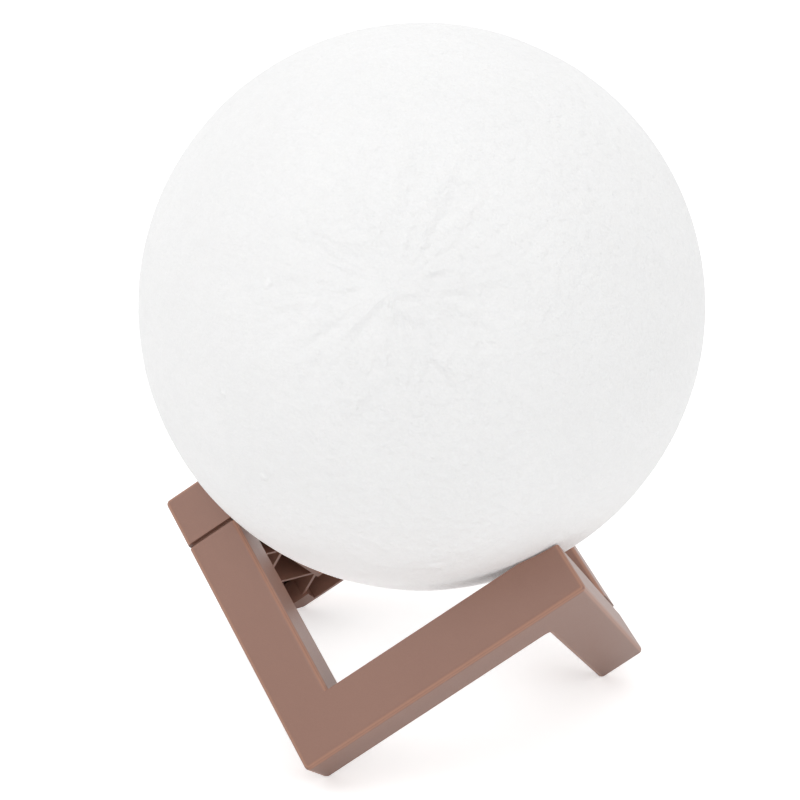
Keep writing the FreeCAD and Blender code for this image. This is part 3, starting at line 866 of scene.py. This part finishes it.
stand_plastic = Finish("stand_plastic", IOR=1.55)
normal = stand_plastic.node("ShaderNodeTexCoord", {}, {}, "Normal")
facing = 0.0
for direction in bar_directions:
    turned = stand_plastic.node("ShaderNodeVectorMath", {"operation": "DOT_PRODUCT"},
                                {0: normal, 1: tuple(direction)}, "Value")
    turned = stand_plastic.node("ShaderNodeMath", {"operation": "ABSOLUTE"}, {0: turned})
    facing = stand_plastic.larger(turned, facing)
# mask of the painted edge light: 1 on the rounded edges, where light and highlight are painted in
painted_edge_light = stand_plastic.ramp(facing, *EDGE_LIGHT_STOPS)
cloud = stand_plastic.grain(STAND_CLOUD, 2.0)
grit = stand_plastic.grain(STAND_GRIT, 3.0, 0.7)
brown = stand_plastic.mixed(cloud, colour(143, 105, 90), colour(149, 111, 95))
brown = stand_plastic.mixed(grit * GRIT_SHARE, brown, colour(131, 91, 78))
# painted light: a tan band on the rounded edges stands for light passing through them and their
# highlight
brown = stand_plastic.mixed(painted_edge_light, brown, colour(167, 122, 101))
stand_finish = stand_plastic.set(
    Base_Color=brown, Roughness=grit * GRIT_ROUGHNESS + STAND_ROUGHNESS,
    Normal=stand_plastic.bumped(grit, GRIT_DEPTH))


def dress(finish, *nodes):
    """Give CAD nodes a finish in place of the plain one they came with."""
    for name in nodes:
        node = frame["nodes"][name]
        node.data.materials.clear()
        node.data.materials.append(finish)
    print(finish.name, "on", ", ".join(nodes))


dress(stand_finish, "stand_front_half", "stand_rear_half")

# %% [markdown]
# ## The base unit's finishes
#
# The pieces at the back of the moon and inside it are few kinds of material: white and black
# moulded plastic, circuit board, plated steel, the cell's foil, foam, wire and frosted plastic.
# Moulded plastics differ only in colour and gloss, so one function makes them all.

# %% Moulded plastics
SMALL_CLOUD = 9 * MM
SMALL_GRIT_DEPTH = 0.02 * MM
SMALL_GRIT_ROUGHNESS = 0.12


def moulded(name, plain, darker, roughness, grain_size):
    """Plastic with faint clouds of colour and a fine grain."""
    finish = Finish(name, IOR=1.48)
    cloud = finish.grain(SMALL_CLOUD, 2.0)
    grit = finish.grain(grain_size, 3.0, 0.6)
    return finish.set(Base_Color=finish.mixed(cloud, plain, darker),
                      Roughness=grit * SMALL_GRIT_ROUGHNESS + roughness,
                      Normal=finish.bumped(grit, SMALL_GRIT_DEPTH))


dress(moulded("cover_plastic", colour(245, 245, 243), colour(239, 239, 237), 0.42, 0.5 * MM),
      "base_cover")
dress(moulded("cup_plastic", colour(232, 232, 230), colour(222, 222, 219), 0.50, 0.7 * MM),
      "base_cup")
dress(moulded("button_plastic", colour(248, 248, 247), colour(244, 244, 243), 0.22, 0.8 * MM),
      "push_button")
dress(moulded("black_plastic", colour(34, 34, 36), colour(26, 26, 28), 0.38, 0.3 * MM),
      "tactile_switch", "switch_plunger", "socket_tongue", "board_components")
dress(moulded("frosted_plastic", colour(240, 240, 236), colour(232, 232, 228), 0.60, 0.4 * MM),
      "light_diffuser")
dress(moulded("foam", colour(44, 44, 47), colour(36, 36, 38), 0.85, 0.6 * MM), "battery_foam")
dress(moulded("lead_insulation", colour(178, 36, 30), colour(160, 30, 26), 0.45, 1.0 * MM),
      "battery_leads", "light_leads")

# %% [markdown]
# Metals need streaks rather than clouds. The noise is stretched along one direction by scaling
# the coordinates unevenly before it is read, which is what brushing or rolling does to a sheet.

# %% Metals
STREAK_WIDTH = 0.3 * MM
STREAK_DEPTH = 0.01 * MM
STREAK_ROUGHNESS = 0.15
STREAK_TONE = 0.82          # the darker streaks' share of the plain colour


def brushed(name, plain, roughness, streak):
    """Metal with fine streaks along Z, where a smaller streak value makes them longer."""
    finish = Finish(name, Metallic=1.0)
    stretched = finish.node("ShaderNodeMapping", {},
                            {"Vector": finish.place(), "Scale": (1.0, 1.0, streak)})
    lines = finish.grain(STREAK_WIDTH, 2.0, 0.5, stretched)
    darker = tuple(channel * STREAK_TONE for channel in plain[:3]) + (1.0,)
    return finish.set(Base_Color=finish.mixed(lines, plain, darker),
                      Roughness=lines * STREAK_ROUGHNESS + roughness,
                      Normal=finish.bumped(lines, STREAK_DEPTH))


dress(brushed("plated_steel", colour(198, 198, 200), 0.24, 0.2),
      "cover_screws", "board_screws", "light_board_screws", "charging_socket")
dress(brushed("cell_foil", colour(206, 208, 211), 0.34, 0.5), "battery")

# %% [markdown]
# A circuit board shows its copper as slightly raised tracks under the lacquer. A pattern of cells
# stands for them: the Voronoi texture's distance to the edge of a cell is lowest on the lines
# between the cells, and a sharp ramp turns these lines into tracks.

# %% Circuit boards
TRACK_EDGES = ((0.05, 1.0), (0.08, 0.0))
TRACK_DEPTH = 0.03 * MM


def circuit(name, lacquer, track, cell):
    """Lacquered board with slightly raised tracks."""
    finish = Finish(name, Roughness=0.32, IOR=1.5)
    cells = finish.node("ShaderNodeTexVoronoi", {"feature": "DISTANCE_TO_EDGE"},
                        {"Vector": finish.place(), "Scale": 1 / cell}, "Distance")
    tracks = finish.ramp(cells, *TRACK_EDGES)
    return finish.set(Base_Color=finish.mixed(tracks, lacquer, track),
                      Normal=finish.bumped(tracks, TRACK_DEPTH))


dress(circuit("control_circuit", colour(22, 92, 54), colour(46, 122, 76), 2.4 * MM),
      "control_board")
dress(circuit("light_circuit", colour(236, 236, 232), colour(214, 214, 208), 3.4 * MM),
      "light_board")

# %% [markdown]
# The light chips are yellow phosphor in a white frame, and the light pipe is clear plastic.

# %% Chips and light pipe
PHOSPHOR_GRAIN = 0.2 * MM
PHOSPHOR_DEPTH = 0.02 * MM
HAZE_SIZE = 1.5 * MM

phosphor = Finish("phosphor", Roughness=0.4, IOR=1.5)
grains = phosphor.grain(PHOSPHOR_GRAIN, 2.0)
dress(phosphor.set(Base_Color=phosphor.mixed(grains, colour(238, 206, 92), colour(226, 186, 60)),
                   Normal=phosphor.bumped(grains, PHOSPHOR_DEPTH)),
      "light_chips", "indicator_light")

clear = Finish("clear_plastic", Roughness=0.12, IOR=1.49, Transmission_Weight=0.85)
haze = clear.grain(HAZE_SIZE, 2.0)
dress(clear.set(Base_Color=clear.mixed(haze, colour(246, 249, 250), colour(236, 242, 244))),
      "light_pipe")

# %% [markdown]
# ## Floor, light and background
#
# The photograph is a lamp on pure white. The floor is a pale disc, lit evenly, that keeps the
# lamp's soft shadow. Seen by the camera, in a gloss or through clear plastic, it is lifted to
# white by a little emission of its own, which no matt surface receives. The camera sees some
# more of it, which thins the shadow as in the photograph. The world is treated the same way: it
# is white to those rays, and gives a plain ambient level to all others.

# %% Floor
FLOOR_RADIUS = 3.0
FLOOR_SIDES = 96
FLOOR_CLOUD = 60 * MM
WHITE_LIFT = 0.15           # takes the lit floor to white
SHADOW_LIFT = 0.30          # thins the shadow that the camera sees

let_go()
bpy.ops.mesh.primitive_circle_add(vertices=FLOOR_SIDES, radius=FLOOR_RADIUS, fill_type="NGON")
floor = named("floor")
floor_paint = Finish("floor_paint", Roughness=0.9, Specular_IOR_Level=0.1, Emission_Strength=1.0)
floor_cloud = floor_paint.grain(FLOOR_CLOUD, 2.0)
lift = floor_paint.seen("Camera", "Glossy", "Transmission") * WHITE_LIFT
lift = lift + floor_paint.seen("Camera") * SHADOW_LIFT
floor.data.materials.append(floor_paint.set(
    Base_Color=floor_paint.mixed(floor_cloud, colour(240, 240, 240), colour(243, 243, 243)),
    Emission_Color=lift))
print("floor is %.0f m across" % (2 * FLOOR_RADIUS))

# %% World
AMBIENT = 0.89

world = bpy.data.worlds.new("studio")
world.use_nodes = True
bpy.context.scene.world = world
studio = Shading(world.node_tree)
background = world.node_tree.nodes["Background"]
studio.feed(background.inputs["Color"], (1.0, 1.0, 1.0, 1.0))
white_share = studio.seen("Camera", "Glossy", "Transmission")
studio.feed(background.inputs["Strength"], white_share * (1 - AMBIENT) + AMBIENT)
print("the world lights the lamp with %.2f of white" % AMBIENT)

# %% [markdown]
# The key light is a large soft panel above the left shoulder of the camera, because the moon is
# brightest at its upper left. A weaker panel on the right keeps its other side from going grey,
# and one behind the lamp lights the outlines of the stand.

# %% Lamps
def panel(name, place, aim, size, power):
    """Square soft light that faces a point, in metres and watts."""
    light = bpy.data.objects.new(name, bpy.data.lights.new(name, "AREA"))
    bpy.context.scene.collection.objects.link(light)
    light.data.size = size
    light.data.energy = power
    place, aim = Vector(place), Vector(aim)
    turn = (aim - place).to_track_quat("-Z", "Y").to_matrix().to_4x4()
    light.matrix_world = Matrix.Translation(place) @ turn
    print("%s: %.1f W, %.2f m away" % (name, power, (place - aim).length))


panel("key", (-0.62, -0.74, 1.55), moon_centre, size=0.9, power=4.2)
panel("fill", (1.1, -0.7, 0.6), moon_centre, size=0.9, power=0.8)
panel("back", (0.3, 1.1, 1.1), moon_centre, size=0.8, power=1.0)

# %% [markdown]
# ## The view transform
#
# The picture uses the Standard view transform.

# %% Set the view transform
bpy.context.scene.view_settings.view_transform = "Standard"
